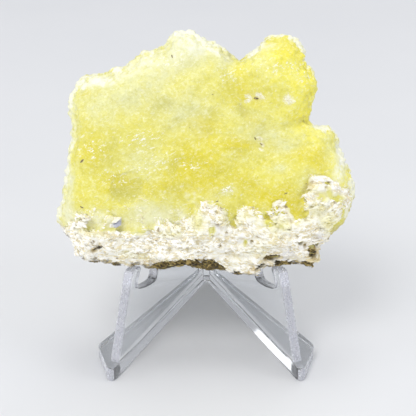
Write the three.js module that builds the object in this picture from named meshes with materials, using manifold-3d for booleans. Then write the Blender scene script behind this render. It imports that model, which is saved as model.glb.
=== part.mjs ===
// Brucite specimen standing on a clear moulded easel.
// Millimetres, +Z up, -Y towards the viewer, origin under the middle of the object on the table.

import * as THREE from "three";
import { mergeVertices } from "three/addons/utils/BufferGeometryUtils.js";
import Module from "manifold-3d";

const wasm = await Module();
wasm.setup();

// ---------------------------------------------------------------- driving dimensions

const FACE_LEAN = THREE.MathUtils.degToRad(15); // the specimen's face and the easel's back-rests
const EDGE_SLOPE = THREE.MathUtils.degToRad(28); // slope of the specimen's broken edges
const FACE_POINT = new THREE.Vector3(0, -4.5, 35); // a point in the middle plane of the specimen
const FRONT_DEPTH = 8; // from the middle plane to the front face
const BACK_DEPTH = 6.4; // from the middle plane to the back face
const MEAN_RADIUS = 33; // mean distance from the specimen's middle to its edge
const THINNEST = 2.2; // least depth of either face where broken faces cut in
const EDGE_POWER = 11; // how square the edge of the specimen is in section
const EDGE_RAGGED = 1.1; // how far the broken edge steps back and forth
const FACE_LUMPS = [{ size: 6.5, height: 0.65 }, { size: 3, height: 0.55 }]; // all over the specimen
const CRUST_KNOBS = [{ size: 1.7, height: 0.55 }, { size: 4, height: 0.5 }]; // on the crust as well
const CRUST_DEPTH = 2.4; // how far the crust and host rock reach into the specimen
const CRUST_EDGE_DEPTH = 0.6; // the same at the edge of the crust
const CRUST_DEEPENING = 0.3; // how fast it gets deeper away from that edge
const CRUST_THINNEST = 0.4;
const CRUST_SHARE = 0.33; // the most of the specimen's own depth that it takes
const CRUST_RAISE = 0.9; // how far the crust stands proud of the yellow face
const CLEARANCE = 0.3; // between the specimen and the easel
const CRUST_CLEARANCE = 0.55; // between the crust and the brucite under it, along its slopes too

const WALL = 2.4; // thickness of the easel's wings
const WING_SINK = 2.6; // how far a wing is let into the foot
const FOOT_HEIGHT = 3.6;
const FOOT_TIP = new THREE.Vector2(22.5, -23.5); // front end of a foot, at its inner edge
const FOOT_HEEL = new THREE.Vector2(26.7, -12.4); // front end of a foot, at its outer edge
const APEX = 23.6; // where the inner faces of the two wings meet, on the centre line
const FOOT_BACK = 31; // the back of the foot, on the centre line
const LIP_HEIGHT = 24.5; // top of the hooked lips
const LIP_START = 35.8; // where a lip starts, measured forward along its wing from the apex
const LIP_END = 40.5;
const REST_HEIGHT = 56; // top of the leaning back-rests
const SPINE_HEIGHT = 44; // where the wings meet at the back

// The net of points that the specimen's surface is drawn on.
const FACE_RINGS = 18; // rings of points from the middle of the front face to its edge
const FACE_SPREAD = 0.89; // the last of them, as a share of the way to the outline
const POINTS_PER_RING = 7.2; // points added from one ring to the next
const EDGE_POINTS = 160; // points on each ring round the edge
const EDGE_TURNS = [52, 66, 80, 95, 112, 130]; // rings over the edge, degrees round its section
const BACK_SPREADS = [0.86, 0.76, 0.65, 0.53, 0.4, 0.26, 0.12]; // rings of the back, from the edge in
const BACK_POINTS = 104; // points on a ring of the back as wide as the outline

// ---------------------------------------------------------------- the specimen's forms

// Outline of the specimen in its own leaning plane: across and up, clockwise from the upper left.
const OUTLINE = [
  [-30.5, 32], [-28.5, 33.4], [-23, 34.3], [-19.5, 35.4], [-17, 36.8], [-14.5, 38.6], [-9.5, 40.3],
  [-9, 42], [-6.5, 44], [-3.5, 43.5], [-0.5, 42], [3.5, 40.5], [5.5, 38.5], [8, 37], [12.3, 40],
  [13.2, 41.2], [14.3, 42.5], [17.6, 42.6], [20, 42], [21.3, 40.7], [21.5, 37.8], [22.1, 35.4],
  [23.8, 34.6], [25.4, 32], [25.2, 29], [24.5, 26.5], [24, 24], [23.5, 23], [26, 22.5], [29.4, 22],
  [30.8, 21], [32.2, 17], [33.2, 13], [34.5, 9], [35.5, 5.5], [34, 1.8], [30.8, -1.4], [28, -4.6],
  [26.9, -7.3], [26.4, -10.3], [25.2, -12], [23.5, -11.5], [20, -11], [18, -11.3], [16, -12],
  [14.2, -13.3], [12, -14.8], [9.5, -14.3], [5.5, -13.4], [3, -12.6], [-0.5, -12], [-4.5, -11.6],
  [-8.5, -12], [-11.5, -12.5], [-14.5, -11.7], [-18.5, -11], [-23.5, -10.5], [-30, -10], [-32, -8.5],
  [-32.5, -6.5], [-33.2, -4], [-34.5, -3], [-35.5, 1], [-34.5, 4], [-33.5, 9], [-33, 14.5],
  [-32, 19], [-31.8, 22], [-32.4, 27], [-31.8, 29.5],
].map(([across, up]) => new THREE.Vector3(across, up, 0));

const MIDDLE = new THREE.Vector3(0.5, 15.3, 0); // every point of the outline is in sight of it

// Upper edge of the pale crust on the front face, from left to right: tongues and gulfs.
const CRUST_EDGE = [
  [-40, -3.5], [-33, -3], [-29, 0.5], [-25.5, -2.5], [-22, 0.5], [-19.5, -3.5], [-11.5, -1.5],
  [-4.5, -1.5], [-1.5, 4], [3, 2.5], [6, -2], [8, 2.5], [10.5, 2.5], [13.5, -0.5], [15.5, 3.5],
  [19, 3.5], [19.8, 0], [22, 1], [22.8, 9], [27, 11], [29, 7.5], [32.5, 7], [34, 3], [40, 1],
];

// Upper edge of the crust and host rock on the back.
const BACK_CRUST_EDGE = [
  [-40, -4], [-31, -1], [-24, 3], [-15, -2], [-6, 2.5], [3, -3], [12, 4], [21, 0.5], [30, 5], [40, 1],
];

// Broken faces, where the plate gets thinner: a point on the edge of each, the direction in which it
// falls away, and how steeply.
const FRONT_BREAKS = [
  { from: [0, 33], towards: [-0.2, 1], slope: 0.22 },
  { from: [-24, 22], towards: [-1, 0.5], slope: 0.2 },
  { from: [0, -2], towards: [0.1, -1], slope: 0.28 },
  { from: [27, 4], towards: [1, -0.5], slope: 0.35 },
];
const BACK_BREAKS = [
  { from: [0, 24], towards: [0.3, 1], slope: 0.24 },
  { from: [-19, 22], towards: [-1, 0.9], slope: 0.3 },
  { from: [17, 12], towards: [1, 0.1], slope: 0.3 },
  { from: [-21, 4], towards: [-1, -0.4], slope: 0.26 },
  { from: [4, -5], towards: [-0.1, -1], slope: 0.3 },
];

// Swellings and hollows of the front face: middle, half width, half height, how far they stand out.
const SWELLINGS = [
  { at: [-13, 20], across: 22, up: 21, rise: 1.8 }, // the broad plate on the left
  { at: [17, 33], across: 11, up: 12, rise: 2.5 }, // the rounded lobe at the upper right
  { at: [23, 3], across: 15, up: 14.5, rise: 2.5 }, // the lobe below the ledge on the right
  { at: [2, 10], across: 13, up: 12, rise: 1.6 }, // the middle
  { at: [-27, 4], across: 8, up: 8, rise: 1.3 }, // the lower left
  { at: [-6, 38], across: 8, up: 7, rise: 1.2 }, // the peak
];
const HOLLOWS = [
  { at: [-18.4, 7], across: 4.2, up: 3.6, rise: -0.9 },
  { at: [7.5, 31], across: 3, up: 8, rise: -0.7 }, // the groove beside the rounded lobe
  { at: [11, 27.8], across: 2.2, up: 1.5, rise: -0.8 },
  { at: [18.6, 27.4], across: 1.9, up: 1.9, rise: -0.8 },
  { at: [12.4, 17.7], across: 2, up: 2.6, rise: -0.7 },
];

// ---------------------------------------------------------------- small helpers

const ACROSS = new THREE.Vector3(1, 0, 0);
const UP_FACE = new THREE.Vector3(0, Math.sin(FACE_LEAN), Math.cos(FACE_LEAN));
const OUTWARD = new THREE.Vector3(0, -Math.cos(EDGE_SLOPE), Math.sin(EDGE_SLOPE));

// The right wing's direction in plan: from the apex forward and sideways.
const WING_RUN = new THREE.Vector2(FOOT_TIP.x, FOOT_TIP.y - APEX).normalize();

function clamp(value, low, high) {
  return Math.min(high, Math.max(low, value));
}

// A fixed pseudo-random number from 0 to 1 for each lattice point.
function lattice(i, j, k) {
  const wave = Math.sin(i * 127.1 + j * 311.7 + k * 74.7) * 43758.5453;
  return wave - Math.floor(wave);
}

// Smooth lumps from -1 to 1, one to every `size` millimetres.
function lumps(point, size) {
  const [x, y, z] = point.toArray().map((value) => value / size + 100);
  const [i, j, k] = [x, y, z].map(Math.floor);
  const ease = [x - i, y - j, z - k].map((t) => t * t * (3 - 2 * t));
  let sum = 0;
  for (let corner = 0; corner < 8; corner++) {
    const step = [corner & 1, (corner >> 1) & 1, corner >> 2];
    const shares = step.map((on, axis) => (on ? ease[axis] : 1 - ease[axis]));
    sum += shares[0] * shares[1] * shares[2] * lattice(i + step[0], j + step[1], k + step[2]);
  }
  return sum * 2 - 1;
}

function lumpsOf(point, kinds) {
  return kinds.reduce((sum, { size, height }) => sum + height * lumps(point, size), 0);
}

// Height on a polyline of [across, up] points at a given place across.
function heightAlong(line, across) {
  const next = line.findIndex(([place]) => place > across);
  const [x0, y0] = line[next - 1];
  const [x1, y1] = line[next];
  return y0 + ((y1 - y0) * (across - x0)) / (x1 - x0);
}

function solidOf(geometry) {
  const bare = geometry.clone();
  bare.deleteAttribute("normal");
  bare.deleteAttribute("uv");
  const merged = mergeVertices(bare, 1e-4);
  const vertProperties = new Float32Array(merged.attributes.position.array);
  const triVerts = new Uint32Array(merged.index.array);
  return new wasm.Manifold(new wasm.Mesh({ numProp: 3, vertProperties, triVerts }));
}

function geometryFrom(positions, triangles) {
  const geometry = new THREE.BufferGeometry();
  geometry.setAttribute("position", new THREE.BufferAttribute(new Float32Array(positions), 3));
  geometry.setIndex(triangles);
  return geometry;
}

function named(name, geometry, look) {
  geometry.computeVertexNormals();
  const mesh = new THREE.Mesh(geometry, new THREE.MeshStandardMaterial({ ...look, flatShading: true }));
  mesh.name = name;
  return mesh;
}

// ---------------------------------------------------------------- the specimen's surface

const outlineCurve = new THREE.CatmullRomCurve3(OUTLINE, true, "centripetal");

// The rings that the surface is drawn on, from the middle of the front over the edge to the back.
// `spread` is the distance from the middle as a share of the outline, `depth` goes from 1 to -1.
function surfaceRings() {
  const sectionDepth = (spread) => Math.sqrt(1 - spread ** EDGE_POWER);
  const rings = [];
  for (let k = 1; k <= FACE_RINGS; k++) {
    const spread = (FACE_SPREAD * k) / FACE_RINGS;
    rings.push({ spread, depth: sectionDepth(spread), count: Math.round(POINTS_PER_RING * k) });
  }
  for (const turn of EDGE_TURNS) {
    const angle = THREE.MathUtils.degToRad(turn);
    const spread = Math.sin(angle) ** (2 / EDGE_POWER);
    rings.push({ spread, depth: Math.cos(angle), count: EDGE_POINTS });
  }
  for (const spread of BACK_SPREADS) {
    rings.push({ spread, depth: -sectionDepth(spread), count: Math.round(BACK_POINTS * spread) });
  }
  return rings;
}

// How far the front face stands out of its mean plane at a place on it.
function faceRelief(across, up) {
  const flatTop = 0.65; // below 1 the tops are flatter and the flanks steeper
  const bulge = ({ at, across: halfWidth, up: halfHeight, rise }) => {
    const reach = ((across - at[0]) / halfWidth) ** 2 + ((up - at[1]) / halfHeight) ** 2;
    return reach < 1 ? rise * (1 - reach) ** flatTop : 0;
  };
  const highest = Math.max(...SWELLINGS.map(bulge));
  return highest + HOLLOWS.map(bulge).reduce((sum, value) => sum + value, 0);
}

// The depth of a face below which the broken faces cut in, never less than a thin edge.
function brokenDepth(full, breaks, flat) {
  const cut = breaks.map(({ from, towards, slope }) => {
    const [across, up] = towards;
    const beyond = ((flat.x - from[0]) * across + (flat.y - from[1]) * up) / Math.hypot(across, up);
    return slope * Math.max(0, beyond);
  });
  return Math.max(THINNEST, full - Math.max(...cut));
}

// How many millimetres a point lies inside the crust's edge; negative on the bare brucite.
function crustCover(flat, depth) {
  const frontShare = clamp(depth * 2 + 1, 0, 1);
  const frontEdge = heightAlong(CRUST_EDGE, flat.x);
  const backEdge = heightAlong(BACK_CRUST_EDGE, flat.x);
  return frontEdge * frontShare + backEdge * (1 - frontShare) - flat.y;
}

// How far a point has to rise to rest on a lip of the easel instead of sinking into it.
function liftOverLips(place) {
  const margin = 1.3;
  const slotShare = 0.3; // behind the lips the lift fades out slowly, over the slots
  const plan = new THREE.Vector2(Math.abs(place.x), place.y - APEX);
  const along = plan.dot(WING_RUN);
  const outward = -plan.cross(WING_RUN);
  const behind = (LIP_START - along) * slotShare;
  const beside = Math.max(behind, along - LIP_END, -outward, outward - WALL);
  const share = clamp(2 - beside / margin, 0, 1);
  return share * Math.max(0, LIP_HEIGHT + CLEARANCE - place.z);
}

// One point of the surface: its place in space, the way it faces, and its share of the crust.
function surfacePoint(ring, share) {
  const rim = outlineCurve.getPointAt(share);
  const radial = rim.clone().sub(MIDDLE);
  const flat = MIDDLE.clone().addScaledVector(radial, ring.spread);
  const reach = ring.depth > 0
    ? brokenDepth(FRONT_DEPTH, FRONT_BREAKS, flat)
    : brokenDepth(BACK_DEPTH, BACK_BREAKS, flat);
  const place = FACE_POINT.clone()
    .addScaledVector(ACROSS, flat.x)
    .addScaledVector(UP_FACE, flat.y)
    .addScaledVector(OUTWARD, ring.depth * reach);
  const edgeShare = ring.spread ** (EDGE_POWER - 1);
  const sideways = radial.normalize().multiplyScalar((EDGE_POWER * edgeShare) / MEAN_RADIUS);
  const facing = new THREE.Vector3()
    .addScaledVector(ACROSS, sideways.x)
    .addScaledVector(UP_FACE, sideways.y)
    .addScaledVector(OUTWARD, (2 * ring.depth) / reach)
    .normalize();
  const frontShare = clamp(ring.depth * 1.5, 0, 1);
  const relief = faceRelief(flat.x, flat.y) * frontShare;
  const ragged = EDGE_RAGGED * edgeShare * Math.abs(ring.depth) * (1 + lumps(place, 8));
  place.addScaledVector(ACROSS, -ragged * radial.x).addScaledVector(UP_FACE, -ragged * radial.y);
  place.addScaledVector(facing, relief + lumpsOf(place, FACE_LUMPS));
  const cover = crustCover(flat, ring.depth);
  const deepest = Math.min(CRUST_DEPTH, CRUST_SHARE * reach);
  const crust = clamp(CRUST_EDGE_DEPTH + CRUST_DEEPENING * cover, CRUST_EDGE_DEPTH, deepest);
  const knobbly = lumpsOf(place, CRUST_KNOBS) + CRUST_RAISE * frontShare;
  const raise = Math.max(knobbly, CRUST_THINNEST + CRUST_CLEARANCE - crust);
  place.z += liftOverLips(place.clone().addScaledVector(facing, raise));
  return { place, facing, raise, cover, crust };
}

// All points of the surface and the triangles between them, ring by ring.
function specimenSurface() {
  const front = surfacePoint({ spread: 0, depth: 1 }, 0);
  const back = surfacePoint({ spread: 0, depth: -1 }, 0);
  const points = [front];
  const triangles = [];
  let inner = [0];
  for (const ring of surfaceRings()) {
    const outer = [];
    for (let i = 0; i < ring.count; i++) {
      outer.push(points.length);
      points.push(surfacePoint(ring, i / ring.count));
    }
    stitch(inner, outer, triangles);
    inner = outer;
  }
  points.push(back);
  stitch(inner, [points.length - 1], triangles);
  return { points, triangles };
}

// Joins two closed rings of points, of any counts, with a band of triangles.
function stitch(inner, outer, triangles) {
  const stepsIn = inner.length > 1 ? inner.length : 0;
  const stepsOut = outer.length > 1 ? outer.length : 0;
  let i = 0;
  let j = 0;
  while (i < stepsIn || j < stepsOut) {
    const a = inner[i % inner.length];
    const b = outer[j % outer.length];
    const outerNext = j < stepsOut && (i >= stepsIn || (j + 1) / stepsOut <= (i + 1) / stepsIn);
    if (outerNext) {
      triangles.push([a, outer[(j + 1) % outer.length], b]);
      j++;
    } else {
      triangles.push([a, inner[(i + 1) % inner.length], b]);
      i++;
    }
  }
}

const surface = specimenSurface();

function shifted(point, distance) {
  return point.place.clone().addScaledVector(point.facing, distance).toArray();
}

// The yellow mass: the whole specimen, sunk where the crust covers it.
function bruciteGeometry() {
  const sunk = (point) => shifted(point, point.cover > 0 ? -point.crust : 0);
  return geometryFrom(surface.points.flatMap(sunk), surface.triangles.flat());
}

// The crust and host rock: the covered patch of the surface, raised, thickened and knobbly.
function matrixGeometry() {
  const covered = (index) => surface.points[index].cover > 0;
  const patch = surface.triangles.filter((triangle) => triangle.every(covered));
  const used = [...new Set(patch.flat())];
  const order = new Map(used.map((index, place) => [index, place]));
  const points = used.map((index) => surface.points[index]);
  const outside = points.map((point) => shifted(point, point.raise));
  const inside = points.map((point) => shifted(point, CRUST_CLEARANCE - point.crust));
  const count = used.length;
  const top = patch.map((triangle) => triangle.map((index) => order.get(index)));
  const bottom = top.map(([a, b, c]) => [a + count, c + count, b + count]);
  const sides = openEdges(top).flatMap(([a, b]) => [[b, a, a + count], [b, a + count, b + count]]);
  return geometryFrom([...outside, ...inside].flat(), [...top, ...bottom, ...sides].flat());
}

// The directed edges that only one triangle has.
function openEdges(triangles) {
  const edges = triangles.flatMap(([a, b, c]) => [[a, b], [b, c], [c, a]]);
  const seen = new Set(edges.map(([a, b]) => `${a} ${b}`));
  return edges.filter(([a, b]) => !seen.has(`${b} ${a}`));
}

// ---------------------------------------------------------------- the easel

// Side view of one wing: the first coordinate runs forward from the apex, the second is up.
function wingProfile() {
  const buried = FOOT_HEIGHT - WING_SINK;
  const restFoot = 28;
  const restRun = ((REST_HEIGHT - 17.5) * Math.tan(FACE_LEAN)) / -WING_RUN.y;
  const restTop = restFoot - restRun;
  const profile = new THREE.Shape();
  profile.moveTo(0, buried);
  profile.lineTo(49.5, buried);
  profile.lineTo(41.5, 21.4);
  profile.quadraticCurveTo(40.7, 23.4, LIP_END, LIP_HEIGHT - 0.9);
  profile.quadraticCurveTo(LIP_END - 0.3, LIP_HEIGHT, LIP_END - 1.5, LIP_HEIGHT);
  profile.lineTo(LIP_START + 1, LIP_HEIGHT - 0.4);
  profile.quadraticCurveTo(LIP_START, LIP_HEIGHT - 0.6, LIP_START + 0.4, LIP_HEIGHT - 1.5);
  profile.lineTo(37.9, 20.2);
  profile.quadraticCurveTo(38.4, 18.9, 36.9, 18.3);
  profile.quadraticCurveTo(33, 16.6, 29.6, 16.2);
  profile.quadraticCurveTo(28.3, 16.1, restFoot, 17.5);
  profile.lineTo(restTop + 0.8, REST_HEIGHT - 2.8);
  profile.quadraticCurveTo(restTop, REST_HEIGHT, restTop - 3, REST_HEIGHT);
  profile.quadraticCurveTo(restTop - 8, REST_HEIGHT - 1, 0, SPINE_HEIGHT);
  profile.closePath();
  return profile;
}

// One wing, `side` +1 on the right and -1 on the left; its inner face starts at the apex.
function wing(side) {
  const bevel = 0.25;
  const geometry = new THREE.ExtrudeGeometry(wingProfile(), {
    depth: WALL - 2 * bevel,
    bevelThickness: bevel,
    bevelSize: bevel,
    bevelOffset: -bevel,
    bevelSegments: 1,
    curveSegments: 4,
  });
  geometry.translate(0, 0, side > 0 ? bevel - WALL : bevel);
  const along = new THREE.Vector3(side * WING_RUN.x, WING_RUN.y, 0);
  const up = new THREE.Vector3(0, 0, 1);
  const through = new THREE.Vector3().crossVectors(along, up);
  geometry.applyMatrix4(new THREE.Matrix4().makeBasis(along, up, through).setPosition(0, APEX, 0));
  return solidOf(geometry);
}

// Plan of the V-shaped foot: the right half and its mirror image, with the corners rounded.
function footOutline() {
  const shoulder = 0.15; // the foot's inner edge stands this far in front of the wings' faces
  const inset = shoulder / WING_RUN.x;
  const tipWidth = 1.2;
  const outline = new THREE.Shape();
  const corners = [
    { corner: FOOT_TIP, before: [-1, 2 - inset], after: [tipWidth, 1.6] },
    { corner: FOOT_HEEL, before: [-0.5, -1.2], after: [-0.7, 1.1] },
  ];
  outline.moveTo(0, APEX - inset);
  for (const { corner, before, after } of corners) {
    outline.lineTo(corner.x + before[0], corner.y + before[1]);
    outline.quadraticCurveTo(corner.x, corner.y, corner.x + after[0], corner.y + after[1]);
  }
  outline.lineTo(1.6, FOOT_BACK - 2.6);
  outline.quadraticCurveTo(0, FOOT_BACK, -1.6, FOOT_BACK - 2.6);
  for (const { corner, before, after } of corners.reverse()) {
    outline.lineTo(-corner.x - after[0], corner.y + after[1]);
    outline.quadraticCurveTo(-corner.x, corner.y, -corner.x - before[0], corner.y + before[1]);
  }
  outline.closePath();
  return outline;
}

function foot() {
  const bevel = 0.35;
  const geometry = new THREE.ExtrudeGeometry(footOutline(), {
    depth: FOOT_HEIGHT - 2 * bevel,
    bevelThickness: bevel,
    bevelSize: bevel,
    bevelOffset: -bevel,
    bevelSegments: 2,
    curveSegments: 4,
  });
  return solidOf(geometry.translate(0, 0, bevel));
}

// The post that joins the wings behind the apex, with a small fillet on its inner side.
function spine() {
  const plan = new THREE.Shape();
  plan.moveTo(-1.3, APEX - 2.2);
  plan.lineTo(1.3, APEX - 2.2);
  plan.lineTo(3.7, APEX - 1.4);
  plan.quadraticCurveTo(2.4, APEX + 4.6, 0, APEX + 4.6);
  plan.quadraticCurveTo(-2.4, APEX + 4.6, -3.7, APEX - 1.4);
  plan.closePath();
  const bevel = 0.6;
  const geometry = new THREE.ExtrudeGeometry(plan, {
    depth: SPINE_HEIGHT - 0.5 - 2 * bevel,
    bevelThickness: bevel,
    bevelSize: bevel,
    bevelOffset: -bevel,
    bevelSegments: 2,
    curveSegments: 4,
  });
  return solidOf(geometry.translate(0, 0, bevel + 1));
}

function easelGeometry() {
  const solid = foot().add(spine()).add(wing(1)).add(wing(-1));
  const mesh = solid.getMesh();
  return geometryFrom(mesh.vertProperties, Array.from(mesh.triVerts));
}

// ---------------------------------------------------------------- the object

const specimen = new THREE.Group();
specimen.add(
  named("brucite", bruciteGeometry(), { color: 0xe6dc6a, roughness: 0.45, metalness: 0 }),
  named("matrix", matrixGeometry(), { color: 0xe9e4d0, roughness: 0.85, metalness: 0 }),
);

const object = new THREE.Group();
object.add(
  specimen,
  named("easel", easelGeometry(), {
    color: 0xeaf1f4, roughness: 0.08, metalness: 0, transparent: true, opacity: 0.35,
  }),
);

const extent = new THREE.Box3().setFromObject(object);
const middle = extent.getCenter(new THREE.Vector3());
object.position.set(-middle.x, -middle.y, -extent.min.z);

export default object;
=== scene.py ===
"""Looks of a brucite specimen on a clear easel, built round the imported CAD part.

Metres in the row frame: +Z up, -Y towards the viewer; a length is written as a number times MM.
The specimen has its own three directions: across (to the right), up (up its leaning face) and
out (off its face, along its broken edges). Its places, reliefs and noise sizes are in millimetres.
"""

import math

import bmesh
import bpy
import numpy as np
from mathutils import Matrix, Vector
from mathutils.bvhtree import BVHTree
from mathutils.kdtree import KDTree


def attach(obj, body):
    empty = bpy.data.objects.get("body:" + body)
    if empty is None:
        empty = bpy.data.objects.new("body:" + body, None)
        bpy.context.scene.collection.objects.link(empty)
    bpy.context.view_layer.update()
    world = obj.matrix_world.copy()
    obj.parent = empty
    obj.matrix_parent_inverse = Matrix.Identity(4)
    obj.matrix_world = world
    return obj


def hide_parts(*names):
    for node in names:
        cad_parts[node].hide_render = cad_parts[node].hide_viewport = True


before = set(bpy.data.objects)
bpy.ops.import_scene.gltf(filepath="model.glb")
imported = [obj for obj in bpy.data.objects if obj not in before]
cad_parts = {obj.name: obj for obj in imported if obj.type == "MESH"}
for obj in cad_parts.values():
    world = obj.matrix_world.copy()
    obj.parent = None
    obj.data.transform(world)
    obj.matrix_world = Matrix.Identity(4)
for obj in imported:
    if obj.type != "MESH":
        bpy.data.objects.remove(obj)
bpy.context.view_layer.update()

# ------ driving values

MM = 0.001
SEED = 7

FACE_POINT = np.array((0.046, -8.007, 35)) * MM  # where the specimen's directions start
FACE_LEAN = math.radians(15)
OUT_SLOPE = math.radians(28)  # of the specimen's broken edges

VOXEL = 0.35 * MM  # the fine skins' spacing
CLOSING = 0.35 * MM  # grows the solids so that one skin covers the gap between them
RELAXING = 5  # rounds that smooth the solids' facets away
LEVELLING = 90  # rounds that level a crease
OUTLINE_CELL = 0.5  # of the grid on which the outline is found
OUTLINE_CELLS = 400  # along each side of that grid
EASEL_GAP = 0.1  # between the specimen and the easel

RIM_WIDTH = 3  # of the scalloped edge of the yellow mass
# The white edge is partly frosty and partly painted light shining through its thin rim.
FROST_AND_EDGE_LIGHT_WIDTH = 1.275  # of its white edge
CRUST_OVERLAP = 1.1  # of the crust's thin edge over the yellow
CRUST_DEPTH = 0.9  # of the yellow under the crust
CRUST_THICKNESS = 1.2 * MM
LEAST_ISLAND = 14  # quads of crust that can lie apart
GRAINS = 24000
PLATE_FACES = (-0.1, 0.06)  # a cleavage plate's underside and top, off the face
CHIP_LIFT = 0.3  # of a chip's middle off the face, in thicknesses
CHIP_BEVEL = 0.03  # of a chip's edges, in thicknesses

WING_RUN = (0.431, -0.902)  # the easel's right wing in plan: sideways and forward

CAMERA_TARGET = Vector((0.506, -3.5, 35)) * MM
CAMERA_ELEVATION = math.radians(28)
CAMERA_DISTANCE = 300 * MM
CAMERA_LENS = 107.1

LAMPS = [  # name, place and width in metres, power in watts, colour
    ("key", (-0.25, -0.45, 0.85), 0.4, 3, (1, 0.99, 0.965)),
    ("right", (0.8, -0.2, 0.3), 0.5, 1.7, (0.97, 0.98, 1)),
    ("left", (-0.8, -0.2, 0.3), 0.5, 1.5, (1, 1, 1)),
    ("front", (-0.1, -0.8, 0.1), 0.5, 1.9, (1, 1, 1)),
    ("top", (0.05, 0.15, 0.8), 0.5, 1.8, (1, 1, 1)),
    ("back", (0.35, 0.7, 0.7), 0.5, 0.8, (1, 1, 1)),
]
SKY_COLOUR = (0.93, 0.95, 1)
SKY_POWER = 0.5
FLOOR_SIZE = 4
FLOOR_GAP = 0.05 * MM  # under the easel's foot
LAMP_TARGET = Vector((0, 0, 45 * MM))

# Soft patches of the face: across, up, half width, half height, turn in degrees, strength.
# Milky veils in the yellow.
PALE = [
    (-4, 38.5, 8, 5.5, -20, 1), (-15.5, 31, 12, 6.5, 24, 1), (-5, 24.5, 7, 5.5, 20, 0.85),
    (-24, 26.5, 5, 4.2, 0, 0.7), (-25, 31.6, 5, 1.6, 10, 1), (4.3, 36, 3.8, 3, -40, 0.7),
    (-30.6, 26, 1.7, 5.5, 5, 0.9), (15, 19.3, 8.5, 2.6, -8, 0.9), (11.9, 23.5, 7.3, 2, -10, 0.6),
    (18.4, 16.8, 3, 2, 20, 0.85), (26.6, 20.2, 4.2, 1.8, -20, 0.7), (31, 13.5, 2, 7.5, -15, 0.9),
    (17, 11.4, 1.5, 1.3, 0, 0.9), (4.8, 6, 1.9, 1.3, 0, 0.8), (-14.7, 13.5, 5, 3.6, 10, 0.7),
    (12, 36, 3.4, 3.6, 40, 0.6), (16.7, 34, 3.6, 1, 25, 0.5), (-11.8, 0.5, 6.2, 3.4, 0, 0.95),
    (-4, -1.9, 4, 2.4, 0, 0.75), (-31.1, 1.3, 2, 3, 0, 0.9), (-33, 10, 1.5, 8, 0, 0.6),
    (28.3, 16.2, 1.7, 4, 0, 0.7), (22.7, 9.7, 2.4, 2, 0, 0.5), (-32, 22, 2, 9, 4, 0.7),
    (-32.6, 9, 2, 7, 2, 0.7),
]
# The deepest yellow.
DEEP = [
    (-3.3, 12.3, 6.4, 6.2, 20, 1), (-0.4, 20.8, 3.4, 3.2, 30, 0.95), (6.8, 17.3, 4, 2.2, 0, 0.95),
    (-4, 7.6, 9.7, 2.2, 0, 0.9), (-20, 7.6, 5.3, 3, -10, 0.9), (15.9, 4.5, 8.6, 3.4, -15, 1),
    (24.6, 15, 4.6, 3, -30, 0.9), (-26.6, 16, 3.4, 5, 20, 0.65), (18.9, 37.6, 3.6, 4.4, -20, 1),
    (21.2, 24.4, 4, 2.2, 20, 1), (23.1, 30.7, 2.2, 5, 0, 0.9), (8, 34.8, 1.6, 2.1, 0, 0.7),
    (-19.6, -1.9, 2.4, 1.5, -30, 0.7), (-27, 29.2, 2, 0.8, 0, 0.8), (9, 30, 4, 3, 20, 0.5),
    (6, 9, 5, 4, 0, 0.5), (20.6, 1, 1.6, 2, 0, 0.9), (10.5, 22.2, 2.9, 2.2, 0, 0.7),
    (4.6, 16.2, 3.4, 2, 0, 0.5), (-1.4, 22.2, 2.9, 2.2, 0, 0.4), (11.1, 28, 3.4, 2, 0, 0.5),
]
# Soft whiter patches at the top of the face and along its shoulders.
WHITE_PATCHES = [
    (-4.5, 42.6, 6, 4, -20, 1), (-25.5, 31.8, 5, 1.4, 10, 0.9), (-30.9, 24.5, 1, 5, 5, 0.6),
    (-16, 35.5, 7, 2, 25, 0.8), (32.5, 12, 1, 6.5, -15, 0.8), (-32, -2, 1.5, 3, 0, 0.8),
    (11.5, 39, 2.2, 1.2, 45, 0.5), (4, 38, 3, 1.6, -38, 0.6), (-8, 36, 7, 3.5, 25, 0.45),
    (-3.6, 40.4, 4.4, 2.2, -30, 0.8), (12.8, 39.6, 3.4, 1, 0, 0.7), (31, 13, 1.6, 7, -15, 0.5),
    (-32.8, 14, 1, 13, 3, 0.6),
]
# Painted light: patches of the yellow made brighter and more lemon, standing in for light that shines
# through its thin parts.
PAINTED_GLOW_PATCHES = [
    (22.6, 30, 5, 11, 5, 1), (17, 36, 6, 5, 0, 0.7), (31, 12, 4, 8, -15, 0.8), (24, 20, 9, 3, -10, 0.5),
    (17, 23.5, 7, 2.5, 0, 0.6), (-32, 20, 2.5, 12, 0, 0.8), (9, 35, 3, 3, 0, 0.6),
]
# Corners of its edge that are whiter, and stretches that are less white: partly frosty, partly painted
# light through the thin edge.
FROSTED_AND_EDGE_LIT = [
    (-26, 31.8, 6, 1.6, 8, 0.8), (-4, 45.4, 5, 1.5, -15, 0.8), (-31.2, 27, 1.1, 1.5, -10, 0.9),
    (0.5, 40, 6, 0.9, -35, 0.8), (31.4, 14, 1.1, 5.5, -17, 0.9), (33.4, 5.5, 1.5, 4.5, -8, 0.9),
    (27, 21.4, 3.2, 0.8, -12, 0.9), (-33.6, 3, 0.9, 3.5, 8, 0.6),
]
LESS_FROST_AND_EDGE_LIGHT = [
    (23.5, 30, 3, 8, 10, 1), (8, 36, 3, 3, 0, 0.8), (33.4, -2.8, 3.2, 3.6, 40, 1),
    (-31, 22, 1.8, 3.2, 0, 1),
]
# Darker, olive hollows.
OLIVE = [
    (-10, 26, 3, 2, 0, 0.5), (-1.4, 25, 5, 1.6, -12, 0.3), (9.6, 24.3, 3, 1.6, 15, 0.35),
    (-7.1, 12.5, 1.6, 4, -5, 0.35), (-7.1, 7.3, 4, 1.4, 10, 0.35), (7.4, 15.8, 3, 0.9, -6, 0.35),
    (23.5, 17.2, 7, 0.6, 8, 0.4), (-22, 17, 5, 1.5, 30, 0.25), (-22, 13, 2, 3, 20, 0.25),
]
# Creases between the solids' forms that the real face doesn't have.
FILLED = [(5.2, 32, 2.8, 6.5, 3, 1), (21.6, 1.8, 2.8, 3.6, 0, 1)]
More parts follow.
